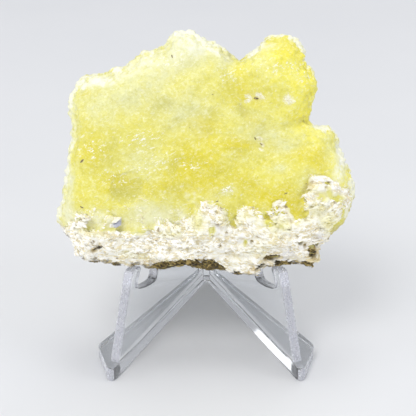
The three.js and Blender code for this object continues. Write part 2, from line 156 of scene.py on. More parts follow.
# Rough spots on the yellow where pale grains cling, and thinner fields of such grains.
SCARS = [
    (9.7, 28.4, 0.6, 0.5, 0, 0.8), (9.7, 27.3, 0.9, 0.45, 15, 1), (12.2, 28.3, 1.3, 0.6, -28, 1),
    (18.6, 27.4, 1.2, 1.15, 0, 0.9), (12.4, 18.5, 0.9, 0.45, -25, 0.75), (13, 17.2, 0.7, 0.4, -55, 0.6),
    (12.7, 16, 0.8, 0.4, -10, 0.6),
]
GRAIN_FIELDS = [(-11, 0.4, 8, 3.6, -5, 0.8), (5.2, 6.1, 1.8, 1, 0, 1), (-28, -1, 4, 3, 0, 0.6)]
# Where the crust thins to a dusty film on the yellow.
DUSTED = [(-25, -1.6, 8, 2.6, -4, 1), (-12, 0.3, 6, 3, 0, 0.7), (-31, -1, 2.5, 4, 0, 0.8)]

# Rounded lobes that lap over their neighbours: middle across and up, radius, height of the step.
LOBES = [(24, 2.6, 14.9, 0.25), (16.6, 33.2, 11, 0.12), (7.5, 5.5, 9.5, 0.12), (-18.4, 6.9, 3.9, -0.3)]

# Corners of the outline that stand back from the solids': across, up, reach, shift across and up.
DRAWN_IN = [(-33, -8.2, 7.5, 1.5, 0), (28.5, -6.6, 8, -1.1, 0.2), (26.2, 21.8, 3.6, 0, -0.9)]

# Soft patches of crust on the yellow, and gulfs of yellow in the crust.
ISLANDS = [
    (16.4, 3.2, 1.3, 0.9, 0, 2.5), (26.2, 8, 3.2, 1.8, -15, 4), (30.2, 6.4, 1, 2.2, 0, 3),
    (24.3, 4, 1.3, 0.8, -20, 3), (-28.1, -0.1, 1.5, 0.9, 10, 6), (-26, 1.6, 0.6, 1, -20, 5),
    (-22, -0.9, 1.5, 1.4, -30, 7), (0.2, 3.2, 1.4, 1, 0, 1.5), (4, 0.5, 1.6, 1.5, -15, 2.5),
]
GULFS = [
    (6.3, 0, 0.7, 1.7, 0, 3), (15.2, -2.2, 1, 1.3, 0, 3.6), (1.3, -3.2, 0.7, 1.5, 0, 4),
    (9.1, -6.3, 0.5, 0.8, 0, 4), (-25, 2, 7, 3.6, 0, 3), (-2.7, 1.5, 1.8, 2.8, 0, 3),
    (-20, -2.5, 8, 1.6, -4, 2.2), (30.6, 3.5, 2, 2, 35, 3.5), (21.2, 1.6, 1.4, 2.9, 0, 3.4),
    (28.2, 5.6, 0.9, 1.6, 20, 3.5), (23, 6.6, 1.3, 0.8, 10, 3), (26.2, 4.7, 1.5, 1.4, 0, 3.5),
    (32.8, -0.6, 7, 1.9, 56, 6), (-1.7, 4.3, 0.9, 1.3, 0, 2.5),
]
# Where brown host rock shows: cracks, ledges and the corner below them.
ROCK = [
    (15.6, -9.9, 2.1, 0.8, 12, 1.3), (18.4, -11.2, 2.2, 0.8, 5, 1.3), (12.8, -12.3, 1.7, 0.7, 30, 1.1),
    (25.4, -7, 1.7, 0.7, 25, 1.1), (25, -8.8, 1.5, 1.3, 0, 0.8), (24.6, -11.2, 2, 0.8, 0, 1.2),
    (-25.3, -7.5, 1.9, 0.36, 28, 1), (22, -6.5, 1, 0.4, 20, 0.8), (-4, -10.2, 5, 0.6, 0, 0.8),
]
# Lower edge of the crust on the front, above the host rock: across and up.
CRUST_FOOT = [
    (-40, -8), (-30, -9.8), (-23, -10.4), (-17, -11.5), (-14, -12), (-11, -10.9), (-8, -10.3),
    (-4, -9.9), (0, -10.2), (4, -11.6), (8, -13.2), (12, -14.1), (15, -12.4), (19, -11.9), (23, -12.2),
    (26, -13), (40, -13),
]
# Where golden-brown stains the crust.
STAINED = [
    (25.2, -9, 2, 2.6, 0, 1), (12, -12.6, 3.2, 1, 15, 0.8), (15.6, -10, 2.4, 0.9, 14, 0.9),
    (29.6, -5.4, 1.5, 1.4, 40, 0.6), (-14, -10.6, 5, 0.7, -8, 0.6), (23.6, 7.2, 1.3, 1, 0, 0.8),
    (-25.6, -7.2, 2.6, 0.7, 28, 0.6), (17.5, -6.6, 1.5, 0.8, 0, 0.4),
]
# Where the yellow tints the crust from below.
TINTED = [
    (-1.4, -1, 1.7, 3, 0, 1), (6.3, -1.2, 2.2, 1.5, 0, 0.7), (9.5, 0.7, 1.5, 1.2, 0, 0.7),
    (16.6, -2.4, 2.8, 2.2, 0, 0.8), (29, -1.6, 2.2, 2.8, 0, 0.8), (24.2, 6.9, 1.4, 1.1, 0, 0.8),
    (24.6, 1.4, 3, 2.2, 0, 0.6), (4.6, 0.2, 1.8, 1.4, 0, 0.5), (-7.9, -3.8, 3.4, 1.2, 0, 0.5),
    (-16.6, -8.8, 5, 1.2, -8, 0.35), (-27, -3.6, 4, 1.2, -10, 0.5), (12, -8, 5, 2, 20, 0.25),
    (25.4, -9.8, 1.8, 1.8, 0, 0.5),
]
# Where the crust is grey.
GREY = [
    (20, -8.5, 3.6, 1.6, 20, 0.8), (-20.5, -0.9, 1.1, 0.7, 30, 1), (26.5, -5.8, 1.4, 1.4, 0, 0.7),
    (-10, -5.5, 3, 0.9, 0, 0.5), (2.6, -2, 1.2, 1, 0, 0.6), (31, 7, 1.2, 1.6, 0, 0.5),
]

# Fields of small cleavage plates that catch the light, where glints are also painted on as white dashes:
# across, up, half width, half height, how many.
GLINT_FIELDS = [
    (-15, 18, 5, 2.5, 14), (-9.5, 13.5, 4, 2, 16), (-22, 10, 3.5, 1.2, 10), (17.5, 34.6, 6, 1.2, 26),
    (22.5, 32.5, 1.6, 3.5, 10), (5.4, 33.4, 2.5, 2, 14), (-26.5, 17, 3, 3, 12), (-13, 11.7, 4, 1.4, 12),
    (5.4, 6, 2.4, 1.4, 12), (-9, 37, 6, 2, 8), (-21, 8.6, 3.5, 0.8, 8), (-3, 12, 3, 1.2, 6),
]
# Dark slivers in the yellow: across, up, length, turn in degrees.
SPECKS = [
    (-7.7, 37.4, 0.8, -60), (1.5, 28.5, 0.35, 0), (-28.6, 13.3, 1.2, 40), (2.5, 3.7, 0.8, 10),
    (18.2, 5.5, 0.9, 25), (-28.8, 2.4, 1.1, -10), (11.3, 18.6, 0.9, -50), (12.7, 17.1, 0.9, -40),
    (11.3, 27.7, 1.2, -8), (-3.6, 20.8, 0.35, 0), (7, 14.2, 0.3, 0), (18.6, 27.2, 0.4, 0),
    (-25.6, 1.9, 0.5, 20), (24.8, 2.1, 0.7, 0), (29.5, 5, 0.6, 40), (23.1, 7.9, 0.5, 0),
]
# Broken chips on the yellow: across, up, length, width, thickness, turn, and 1 for a slaty one.
CHIPS = [
    (-28.6, 0, 1.8, 1.3, 1.6, 12, 0), (-25.8, 2.1, 1, 0.6, 1.2, 58, 0),
    (-27.2, -0.5, 1.2, 0.9, 1.8, 30, 0), (-22, -0.9, 3.4, 2.4, 2.6, 75, 0),
    (-20.5, -0.9, 2.6, 1.5, 2.6, 40, 1), (-20.8, 0, 3, 0.8, 2.6, 30, 0),
]

# ------ the specimen's directions

ACROSS = np.array((1, 0, 0))
UP = np.array((0, math.sin(FACE_LEAN), math.cos(FACE_LEAN)))
OUT = np.array((0, -math.cos(OUT_SLOPE), math.sin(OUT_SLOPE)))


def face_places(points):
    """Each point's place along ACROSS, UP and OUT, in millimetres."""
    return (points - FACE_POINT) @ np.linalg.inv(np.array((ACROSS, UP, OUT))) / MM


def unit(vectors):
    return vectors / np.linalg.norm(vectors, axis=-1, keepdims=True)


def ease(low, high, values):
    """0 up to `low`, 1 from `high` on, and a smooth step between them."""
    share = np.clip((values - low) / (high - low), 0, 1)
    return share * share * (3 - 2 * share)


# ------ noise: each seed gives a pattern of its own

LUMPS_START = 512.37  # where the noises' lattices lie, in cells
KNOBS_START = 256.71
# Odd numbers that scramble a cell's place, and the bits that are kept of it.
SCRAMBLERS = (73856093, 19349663, 83492791)
SEED_SCRAMBLER = 2654435761
LAST_SCRAMBLER = 1274126177
LOW_BITS = 0xFFFFFF
ALL_BITS = 0xFFFFFFFF


def lattice_values(cells, seed):
    """A fixed pseudo-random number from 0 to 1 for each whole-numbered cell."""
    i, j, k = (cells.astype(np.int64) * SCRAMBLERS).T
    mixed = i ^ j ^ k ^ (seed * SEED_SCRAMBLER)
    mixed = ((mixed ^ (mixed >> 13)) * LAST_SCRAMBLER) & ALL_BITS
    return ((mixed ^ (mixed >> 16)) & LOW_BITS) / LOW_BITS


def lumps(places, size, seed):
    """Smooth noise from -1 to 1 with a lump to every `size`, one number or one for each axis."""
    scaled = places / size + LUMPS_START
    base = np.floor(scaled)
    part = scaled - base
    near = part**3 * (part * (part * 6 - 15) + 10)
    total = np.zeros(len(places))
    for corner in range(8):
        step = np.array((corner & 1, (corner >> 1) & 1, corner >> 2))
        weight = np.prod(np.where(step, near, 1 - near), axis=1)
        total += weight * lattice_values(base + step, seed + SEED)
    return total * 2 - 1


def drift(places, size, seed, axes):
    """Noise from -1 to 1 for each of so many axes."""
    return np.array([lumps(places, size, seed + axis) for axis in range(axes)]).T


def clouds(places, size, seed):
    """Noise from about -1 to 1 in three sizes, turned and bent so that no lattice shows in it."""
    turn = np.array(((0.75, 0.52, -0.41), (-0.61, 0.77, -0.14), (0.25, 0.36, 0.9)))
    bent = places @ turn
    bent = bent + 0.3 * size * drift(bent, size * 0.8, seed + 50, 3)
    coarse = lumps(bent, size, seed)
    return coarse + 0.5 * lumps(bent, size / 2.1, seed + 1) + 0.3 * lumps(bent, size / 4.6, seed + 2)


def knobs(places, size, seed):
    """Distance to the nearest of points scattered one to a cube of `size`, in sizes: 0 to about 1."""
    scaled = places / size + KNOBS_START
    base = np.floor(scaled)
    nearest = np.full(len(places), 9.0)
    for corner in range(27):
        cell = base + np.array((corner % 3 - 1, corner // 3 % 3 - 1, corner // 9 - 1))
        jitter = np.array([lattice_values(cell, seed + SEED + axis * 17) for axis in range(3)]).T
        nearest = np.minimum(nearest, np.linalg.norm(cell + jitter - scaled, axis=1))
    return nearest


def billows(places, size, seed):
    """Rounded bumps with creases between them: 1 on top of a bump, 0 in a crease."""
    return np.clip(1 - 1.3 * knobs(places, size, seed) ** 2, 0, 1)


def patch_values(places, patches, wander=1.2):
    """Each patch's strength at each point, fading out past its edge, which wavers by `wander`."""
    warp = (drift(places, 4, 31, 2) + 0.4 * drift(places, 1.4, 41, 2)) * wander
    values = []
    for across, up, half_width, half_height, turn, strength in patches:
        offset = places[:, :2] + warp * min(1, half_height / 2.5) - (across, up)
        cos, sin = math.cos(math.radians(turn)), math.sin(math.radians(turn))
        along = (offset[:, 0] * cos + offset[:, 1] * sin) / half_width
        over = (offset[:, 1] * cos - offset[:, 0] * sin) / half_height
        values.append(strength * np.exp(-1.2 * (along**2 + over**2) ** 1.3))
    return np.array(values)


def patch_mask(places, patches, wander=1.2):
    """How strongly each point of the front lies in any of the patches, 0 to 1."""
    front = ease(-3, 2, places[:, 2])
    return (1 - np.prod(1 - patch_values(places, patches, wander), axis=0)) * front


# ------ fine skins


class Skin:
    """A closed mesh of small quads as arrays, for moving its points about."""

    def __init__(self, points, quads):
        self.points = points
        self.quads = quads
        sides = np.concatenate([quads[:, (k, (k + 1) % 4)] for k in range(4)])
        self.edges = np.unique(np.sort(sides, axis=1), axis=0)
        self.degree = np.bincount(self.edges.ravel(), minlength=len(points))

    def averaged(self, values):
        """The mean of each point's neighbours."""
        a, b = self.edges.T
        count = len(self.points)
        columns = values.reshape(count, -1).T
        sums = [np.bincount(a, c[b], count) + np.bincount(b, c[a], count) for c in columns]
        return (np.array(sums) / self.degree).T.reshape(values.shape)

    def smoothed(self, values, steps):
        for _ in range(steps):
            values = (values + self.averaged(values)) / 2
        return values

    def relax(self, steps):
        """Takes small facets out of the shape without shrinking it."""
        for _ in range(steps):
            for share in (0.5, -0.53):
                self.points = self.points + share * (self.averaged(self.points) - self.points)

    def normals(self):
        a, b, c, d = (self.points[self.quads[:, k]] for k in range(4))
        faces = np.cross(c - a, d - b)
        count = len(self.points)
        corners = self.quads.ravel()
        sums = [np.bincount(corners, np.repeat(faces[:, k], 4), count) for k in range(3)]
        return unit(np.array(sums).T)


def node_mesh(nodes, grow=0):
    """The CAD nodes' solids in one bmesh, their skins moved outwards by `grow`."""
    solid = bmesh.new()
    for node in nodes:
        solid.from_mesh(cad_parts[node].data)
    bmesh.ops.remove_doubles(solid, verts=solid.verts, dist=0.001 * MM)
    solid.normal_update()
    for vertex in solid.verts:
        vertex.co += vertex.normal * grow
    return solid


def fine_skin(nodes):
    """One even, softened skin round the given CAD nodes."""
    solid = node_mesh(nodes, CLOSING)
    mesh = bpy.data.meshes.new("rough")
    solid.to_mesh(mesh)
    solid.free()
    rough = bpy.data.objects.new("rough", mesh)
    bpy.context.scene.collection.objects.link(rough)
    remesh = rough.modifiers.new("even", "REMESH")
    remesh.mode = "VOXEL"
    remesh.voxel_size = VOXEL
    even = rough.evaluated_get(bpy.context.evaluated_depsgraph_get()).to_mesh()
    points = np.empty(len(even.vertices) * 3)
    even.vertices.foreach_get("co", points)
    quads = np.array([polygon.vertices for polygon in even.polygons])
    bpy.data.objects.remove(rough)
    bpy.data.meshes.remove(mesh)
    skin = Skin(points.reshape(-1, 3), quads)
    skin.relax(RELAXING)
    skin.points = skin.points - skin.normals() * CLOSING
    return skin


def distances(points, nodes):
    """How far each point is from the surface of the given CAD nodes, in millimetres."""
    solid = node_mesh(nodes)
    tree = BVHTree.FromBMesh(solid)
    found = np.array([tree.find_nearest(point)[3] for point in points])
    solid.free()
    return found / MM


def closed_shell(skin, outside, chosen):
    """The chosen quads with their points at `outside`, as a shell of the crust's thickness."""
    used, quads = np.unique(skin.quads[chosen], return_inverse=True)
    quads = quads.reshape(-1, 4)
    count = len(used)
    sides = np.concatenate([quads[:, (k, (k + 1) % 4)] for k in range(4)])
    keys = sides[:, 0] * count + sides[:, 1]
    open_sides = sides[~np.isin(keys, sides[:, 1] * count + sides[:, 0])]
    a, b = open_sides.T
    walls = np.array((b, a, a + count, b + count)).T
    inside = outside[used] - unit(skin.smoothed(skin.normals(), 30)[used]) * CRUST_THICKNESS
    faces = np.concatenate((quads, quads[:, ::-1] + count, walls))
    return np.concatenate((outside[used], inside)), faces, used


def islands_kept(quads):
    """Which of the quads belong to joined groups that are large enough to keep."""
    points = np.unique(quads)
    label = np.arange(points.max() + 1)
    while True:
        lowest = label[quads].min(axis=1)
        fresh = label.copy()
        np.minimum.at(fresh, quads.ravel(), np.repeat(lowest, 4))
        if np.array_equal(fresh, label):
            break
        label = fresh[fresh]
    groups = label[quads[:, 0]]
    return np.bincount(groups)[groups] >= LEAST_ISLAND


def piece(name, points, faces, material, masks=None, smooth=True):
    """A mesh object, with each mask as a number on its points."""
    mesh = bpy.data.meshes.new(name)
    mesh.from_pydata(points.tolist(), [], faces.tolist() if hasattr(faces, "tolist") else faces)
    if smooth:
        mesh.shade_smooth()
    for mask, values in (masks or {}).items():
        layer = mesh.attributes.new(mask, "FLOAT", "POINT")
        layer.data.foreach_set("value", values.astype(np.float32))
    made = bpy.data.objects.new(name, mesh)
    made.data.materials.append(material)
    bpy.context.scene.collection.objects.link(made)
    return made


# ------ materials


class Look:
    """A material's nodes, added one by one from numbers, colours and earlier outputs."""

    def __init__(self, name):
        self.material = bpy.data.materials.new(name)
        self.material.use_nodes = True
        self.tree = self.material.node_tree
        self.shader = self.tree.nodes["Principled BSDF"]
        place = self.node("ShaderNodeTexCoord").outputs
        self.where = place["Object"]
        self.facing = place["Normal"]

    def node(self, kind, inputs=None, **settings):
        node = self.tree.nodes.new(kind)
        for name, value in settings.items():
            setattr(node, name, value)
        for name, value in (inputs or {}).items():
            self.feed(node.inputs[name], value)
        return node

    def feed(self, socket, value):
        if isinstance(value, bpy.types.NodeSocket):
            self.tree.links.new(value, socket)
        elif isinstance(value, tuple) and len(value) == 3 and socket.type == "RGBA":
            socket.default_value = (*value, 1)
        else:
            socket.default_value = value

    def mask(self, name):
        return self.node("ShaderNodeAttribute", attribute_name=name).outputs["Fac"]

    def stretched(self, scale, turn=0):
        """Where each point is, squeezed by `scale` after a turn in degrees about the depth axis."""
        inputs = {"Vector": self.where, "Rotation": (0, math.radians(turn), 0)}
        turned = self.node("ShaderNodeMapping", inputs).outputs[0]
        return self.node("ShaderNodeMapping", {"Vector": turned, "Scale": scale}).outputs[0]

    def noise(self, size, detail=3, roughness=0.55, where=None):
        """Cloudy noise from 0 to 1, with one cloud to about `size` millimetres."""
        inputs = {"Vector": where or self.where, "Scale": 1 / (size * MM)}
        inputs.update({"Detail": detail, "Roughness": roughness})
        return self.node("ShaderNodeTexNoise", inputs).outputs["Fac"]

    def span(self, value, low, high, to_low=0, to_high=1):
        """A smooth step from `to_low`, where the value is `low`, to `to_high`, where it is `high`."""
        inputs = {"Value": value, "From Min": low, "From Max": high}
        inputs.update({"To Min": to_low, "To Max": to_high})
        return self.node("ShaderNodeMapRange", inputs, interpolation_type="SMOOTHSTEP").outputs[0]

    def parts(self, vector):
        return self.node("ShaderNodeSeparateXYZ", {"Vector": vector}).outputs

    def maths(self, operation, *values):
        node = self.node("ShaderNodeMath", operation=operation, use_clamp=operation == "ADD")
        for socket, value in zip(node.inputs, values):
            self.feed(socket, value)
        return node.outputs[0]

    def plus(self, a, b):
        return self.maths("ADD", a, b)

    def times(self, a, b):
        return self.maths("MULTIPLY", a, b)

    def blend(self, share, a, b):
        inputs = {"Factor": share, "A": a, "B": b}
        return self.node("ShaderNodeMix", inputs, data_type="RGBA").outputs["Result"]

    def broken(self, mask, noise, low, high, least):
        """A mask cut to `least` of itself where the noise is under `low`, and whole over `high`."""
        return self.times(self.mask(mask), self.span(noise, low, high, least, 1))

    def painted(self, colour, coats):
        """The colour under its coats, each a share and a colour, the lowest first."""
        for share, coat in coats:
            colour = self.blend(share, colour, coat)
        return colour

    def relief(self, *layers):
        """Bumps upon bumps, each from a height, a depth in millimetres and a strength."""
        under = {}
        for height, depth, strength in layers:
            inputs = {"Height": height, "Distance": depth * MM, "Strength": strength, **under}
            under = {"Normal": self.node("ShaderNodeBump", inputs).outputs[0]}
        return under["Normal"]

    def shade(self, **inputs):
        for name, value in inputs.items():
            self.feed(self.shader.inputs[name.replace("_", " ").title().replace("Ior", "IOR")], value)
        return self.material


def brucite_look():
    """Waxy, translucent lemon yellow: veiled in places; white along its broken edges, partly frosty and
    partly painted light; with painted glowing patches, glints and shade.
    """
    look = Look("brucite")
    mask, noise, span, times = look.mask, look.noise, look.span, look.times
    sugar = noise(0.6, 3, 0.7)
    fibres = noise(1, 4, 0.7, look.stretched((0.4, 0.8, 1), -28))
    dashes = noise(0.65, 3, 0.7, look.stretched((0.6, 1, 1.3), 25))
    deep = look.plus(mask("deep"), span(noise(5, 4), 0.5, 0.75, 0, 0.4))
    plain = span(mask("deep"), 0, 1, 1, 0.4)
    mottling = span(noise(1.3, 5, 0.75), 0.46, 0.68, 0, 0.4)
    wisps = span(noise(3.2, 6, 0.75), 0.5, 0.68, 0, 0.3)
    # painted glints: white dashes, thick in the glint fields and thin elsewhere
    painted_glints = times(look.plus(mask("glint"), 0.25), span(dashes, 0.57, 0.63, 0, 0.85))
    ragged = span(noise(1.1, 4, 0.7), 0.3, 0.62, -0.35, 0.35)
    stain = times(span(mask("scar"), 0.7, 1), span(noise(0.45), 0.45, 0.6))
    coats = [
        (look.broken("pale", noise(2.2, 4, 0.65), 0.25, 0.6, 0.45), (0.73, 0.725, 0.36)),
        (times(mask("olive"), 0.8), (0.45, 0.43, 0.085)),
        # painted light: a glowing lemon on the thin parts of the yellow
        (times(mask("painted_glow"), 0.6), (0.98, 0.91, 0.11)),
        (times(mottling, plain), (0.86, 0.85, 0.4)),
        (span(fibres, 0.52, 0.64, 0, 0.3), (0.6, 0.56, 0.13)),
        (span(fibres, 0.46, 0.36, 0, 0.2), (0.9, 0.89, 0.5)),
        (times(wisps, plain), (0.8, 0.795, 0.42)),
        # painted shade: darker yellow in the sunken places of the relief
        (span(mask("hollow_shade"), 0.1, 1, 0, 0.35), (0.56, 0.49, 0.04)),
        (span(sugar, 0.55, 0.67, 0, 0.4), (0.92, 0.91, 0.6)),
        (span(sugar, 0.45, 0.33, 0, 0.35), (0.58, 0.53, 0.06)),
        # painted glints
        (painted_glints, (0.98, 0.98, 0.91)),
        (look.broken("white_patches", noise(1.4, 5, 0.75), 0.36, 0.6, 0.25), (0.86, 0.865, 0.69)),
        # the white edge: partly frosty, partly painted light through the thin edge
        (span(look.plus(mask("rim"), ragged), 0.25, 0.9, 0, 0.9), (0.93, 0.93, 0.76)),
        (look.broken("dust", noise(0.9, 5, 0.8), 0.32, 0.6, 0.3), (0.9, 0.89, 0.64)),
        (look.broken("scar", noise(0.5, 3, 0.7), 0.38, 0.55, 0.2), (0.94, 0.915, 0.74)),
        (stain, (0.6, 0.5, 0.27)),
        # painted shade under the down-turned faces, and golden-brown stains
        (mask("stain_and_underside_shade"), (0.56, 0.5, 0.22)),
    ]
    fine = noise(0.28, 2, 0.6)
    knobbly = noise(1.4, 4, 0.7)
    return look.shade(
        base_color=look.painted(look.blend(deep, (0.75, 0.69, 0.1), (0.71, 0.615, 0.012)), coats),
        roughness=span(sugar, 0.3, 0.7, 0.6, 0.3),
        normal=look.relief((fine, 0.08, 0.7), (sugar, 0.25, 0.8), (fibres, 0.2, 0.5), (knobbly, 0.4, 0.5)),
        subsurface_weight=0.12,
        subsurface_radius=(1.6, 1.5, 0.5),
        subsurface_scale=0.8 * MM,
        ior=1.57,
    )


def crust_look():
    """Cream-white chalky crust in thin layers, specked tan, brown and grey; brown rock underneath; painted
    shade in its hollows, pits and between its layers, painted light on its crests.
    """
    look = Look("crust")
    mask, noise, span, times = look.mask, look.noise, look.span, look.times
    layers = noise(1.2, 5, 0.75, look.stretched((0.45, 1, 1.7)))
    fine = noise(0.4, 4, 0.75)
    brown = noise(0.5, 3, 0.8, look.stretched((0.6, 1, 1.6)))
    rock = look.blend(span(fine, 0.42, 0.62), (0.03, 0.022, 0.01), (0.28, 0.2, 0.06))
    rock = look.blend(span(noise(1.8, 3, 0.7), 0.5, 0.6, 0, 0.85), rock, (0.62, 0.46, 0.17))
    coats = [
        # painted shade: cream lines between the crust's layers
        (span(layers, 0.5, 0.6), (0.88, 0.83, 0.62)),
        (span(noise(0.5, 3, 0.8), 0.5, 0.58, 0, 0.5), (0.86, 0.79, 0.55)),
        (span(noise(0.7, 5, 0.8), 0.58, 0.66, 0, 0.5), (0.66, 0.54, 0.31)),
        # painted shade: tan in the crust's hollows
        (times(mask("hollow_shade"), 0.65), (0.68, 0.56, 0.3)),
        (span(brown, 0.65, 0.72, 0, 0.85), (0.24, 0.16, 0.08)),
        # painted light: whiter on the crust's crests
        (times(mask("crest_light"), 0.85), (1, 0.99, 0.94)),
        (times(mask("grey"), 0.6), (0.66, 0.64, 0.72)),
        (mask("yellow"), (0.8, 0.76, 0.26)),
        (look.broken("stain", noise(0.9, 4, 0.75), 0.4, 0.56, 0.15), (0.6, 0.46, 0.2)),
        # painted shade: brown in the crust's pits
        (mask("pit"), (0.36, 0.27, 0.1)),
        (mask("rock"), rock),
    ]
    return look.shade(
        base_color=look.painted((1, 0.99, 0.93), coats),
        roughness=span(fine, 0.3, 0.7, 0.95, 0.7),
        normal=look.relief((fine, 0.2, 0.6), (layers, 0.4, 0.6)),
    )


def grain_look():
    """The crust's loose grains: mostly white, some cream, a few brown, yellowish where they thin out."""
    look = Look("crust_grains")
    tone = look.mask("tone")
    stain = look.times(look.mask("stain"), look.span(tone, 0.2, 0.6, 0.2, 0.9))
    rock = look.blend(look.span(tone, 0.3, 0.9), (0.035, 0.025, 0.01), (0.4, 0.3, 0.09))
    coats = [
        (look.span(tone, 0.6, 0.75), (0.79, 0.71, 0.48)),
        (look.span(tone, 0.93, 0.98), (0.78, 0.69, 0.48)),
        (look.span(tone, 0.99, 0.997), (0.4, 0.32, 0.22)),
        (look.mask("yellow"), (0.86, 0.83, 0.42)),
        (stain, (0.66, 0.52, 0.26)),
        (look.mask("rock"), rock),
        (look.span(look.noise(0.3, 3, 0.7), 0.45, 0.7, 0, 0.25), (0.76, 0.68, 0.48)),
    ]
    return look.shade(base_color=look.painted((1, 0.99, 0.94), coats), roughness=0.85)


def plate_look():
    """Small bright cleavage faces with a pearly shine."""
    look = Look("cleavage_plates")
    tone = look.blend(look.span(look.noise(0.8), 0.35, 0.65), (0.9, 0.9, 0.7), (0.82, 0.79, 0.32))
    rough = look.span(look.noise(0.3), 0.3, 0.7, 0.12, 0.3)
    return look.shade(base_color=tone, roughness=rough, coat_weight=0.4, coat_roughness=0.1)


def sliver_look():
    look = Look("dark_slivers")
    tone = look.blend(look.span(look.noise(0.25), 0.4, 0.6), (0.12, 0.085, 0.035), (0.36, 0.29, 0.15))
    return look.shade(base_color=tone, roughness=look.span(look.noise(0.2), 0.3, 0.7, 0.5, 0.8))


def chip_look():
    """Chalky white, or slaty blue-grey with pale streaks."""
    look = Look("chips")
    streaks = look.noise(1.2, 4, 0.7, look.stretched((0.6, 1.2, 1.2)))
    grain = look.noise(0.4, 4, 0.8)
    slate = look.blend(look.span(streaks, 0.45, 0.62), (0.36, 0.37, 0.45), (0.7, 0.71, 0.76))
    chalk = look.blend(look.span(grain, 0.48, 0.6), (0.98, 0.97, 0.91), (0.82, 0.76, 0.56))
    return look.shade(
        base_color=look.blend(look.mask("slaty"), chalk, slate),
        roughness=look.span(streaks, 0.3, 0.7, 0.6, 0.4),
        normal=look.relief((grain, 0.15, 0.7)),
    )


def acrylic_look():
    """Clear acrylic with polished faces and frosty, finely streaked sawn edges across each wing."""
    look = Look("acrylic")
    place = look.parts(look.where)
    side = look.maths("SIGN", place[0])
    across, along, _ = look.parts(look.facing)
    across = look.times(look.times(across, side), WING_RUN[0])
    endwise = look.maths("ABSOLUTE", look.maths("MULTIPLY_ADD", along, WING_RUN[1], across))
    sawn = look.times(look.span(endwise, 0.4, 0.8), look.span(place[1], 4 * MM, 18 * MM, 1, 0))
    bloom = look.span(look.noise(1.4, 5, 0.7), 0.45, 0.7)
    streaks = look.noise(0.5, 4, 0.7, look.stretched((1, 1, 0.2)))
    scuffs = look.span(look.noise(6, 6, 0.75, look.stretched((1, 1, 0.3))), 0.55, 0.75, 0.02, 0.07)
    ripple = look.noise(9, 2, 0.5)
    frosty = look.blend(look.span(streaks, 0.35, 0.65), (0.7, 0.71, 0.79), (0.84, 0.85, 0.91))
    return look.shade(
        base_color=look.blend(sawn, (0.95, 0.965, 0.985), frosty),
        roughness=look.plus(scuffs, look.times(sawn, look.span(bloom, 0, 1, 0.25, 0.45))),
        normal=look.relief((ripple, 0.05, 0.4), (look.times(streaks, sawn), 0.1, 0.5)),
        transmission_weight=look.span(sawn, 0, 1, 0.93, 0.45),
        ior=1.49,
    )


# ------ the specimen


def outline_distances(places):
    """How far inside the specimen's outline, as seen along OUT, each point lies."""
    middle = OUTLINE_CELLS // 2
    filled = np.zeros((OUTLINE_CELLS, OUTLINE_CELLS), bool)
    filled[tuple(np.floor(places[:, :2] / OUTLINE_CELL).astype(int).T + middle)] = True
    shifts = [np.roll(filled, step, axis) for step in (-1, 1) for axis in (0, 1)]
    edge = np.argwhere(filled & ~np.all(shifts, axis=0))
    tree = KDTree(len(edge))
    for index, cell in enumerate(edge):
        tree.insert((*(cell + 0.5 - middle) * OUTLINE_CELL, 0), index)
    tree.balance()
    return np.array([tree.find((across, up, 0))[2] for across, up, _ in places])


def drawn_in(places):
    """The shift of each point near the corners that stand back."""
    shift = np.zeros_like(places)
    for across, up, reach, along, above in DRAWN_IN:
        near = 1 - np.hypot(places[:, 0] - across, places[:, 1] - up) / reach
        shift += ease(0, 1, near)[:, None] * (along * ACROSS + above * UP) * MM
    return shift


def specimen_skin():
    """The whole specimen's fine skin, and what both of its coats need to know about each point.

    That is its place, how deep in the crust it lies (below 0 on the yellow), how much of a gulf lies
    over it, and its room before the easel.
    """
    skin = fine_skin(["brucite", "matrix"])
    cover = distances(skin.points, ["brucite"]) - distances(skin.points, ["matrix"])
    cover = skin.smoothed(cover, 4)
    skin = Skin(skin.points + drawn_in(face_places(skin.points)), skin.quads)
    places = face_places(skin.points)
    ragged = 0.9 * lumps(places, 3.4, 11) + 1.1 * lumps(places, 1.6, 12) + 0.9 * lumps(places, 0.9, 13)
    front = ease(-2, 2, places[:, 2])
    gulfs = patch_values(places, GULFS, 0.9).sum(axis=0) * front
    cover += 0.3 + ragged + patch_values(places, ISLANDS, 0.9).sum(axis=0) * front - gulfs
    room = distances(skin.points, ["easel"]) - EASEL_GAP
    return skin, places, cover, gulfs, room


def raised(points, normals, rise, room):
    """The points moved out by their rise, as far as there is room."""
    return points + normals * (np.minimum(rise, room) * MM)[:, None]


def sunken(shape):
    """How far each point of a skin lies below its surroundings."""
    return ((shape.smoothed(shape.points, 8) - shape.points) * shape.normals()).sum(axis=1) / MM


def broken_back(places):
    """How far the rough broken back stands in or out: flat steps with lumpy edges."""
    height = 1.9 * clouds(places, 13, 40)
    level = np.floor(height)
    steps = level + ease(0.82, 1, height - level)
    return 0.5 * steps + 0.35 * (billows(places, 3.2, 38) - 0.5) + 0.12 * lumps(places, 1.2, 37)


def sugary_relief(places, rim):
    """Low lumps all over the yellow mass, higher and scalloped along its rim."""
    coarse = lumps(places, 2.6, 1)
    medium = lumps(places, 1.25, 2)
    fine = lumps(places, 0.7, 3)
    scallops = billows(places, 2.4, 4) + billows(places, 1.1, 5) - 1.2
    all_over = 0.07 * coarse + 0.06 * medium + 0.05 * fine
    return all_over + rim * (0.18 * coarse + 0.14 * (medium + fine) + 0.6 * scallops)


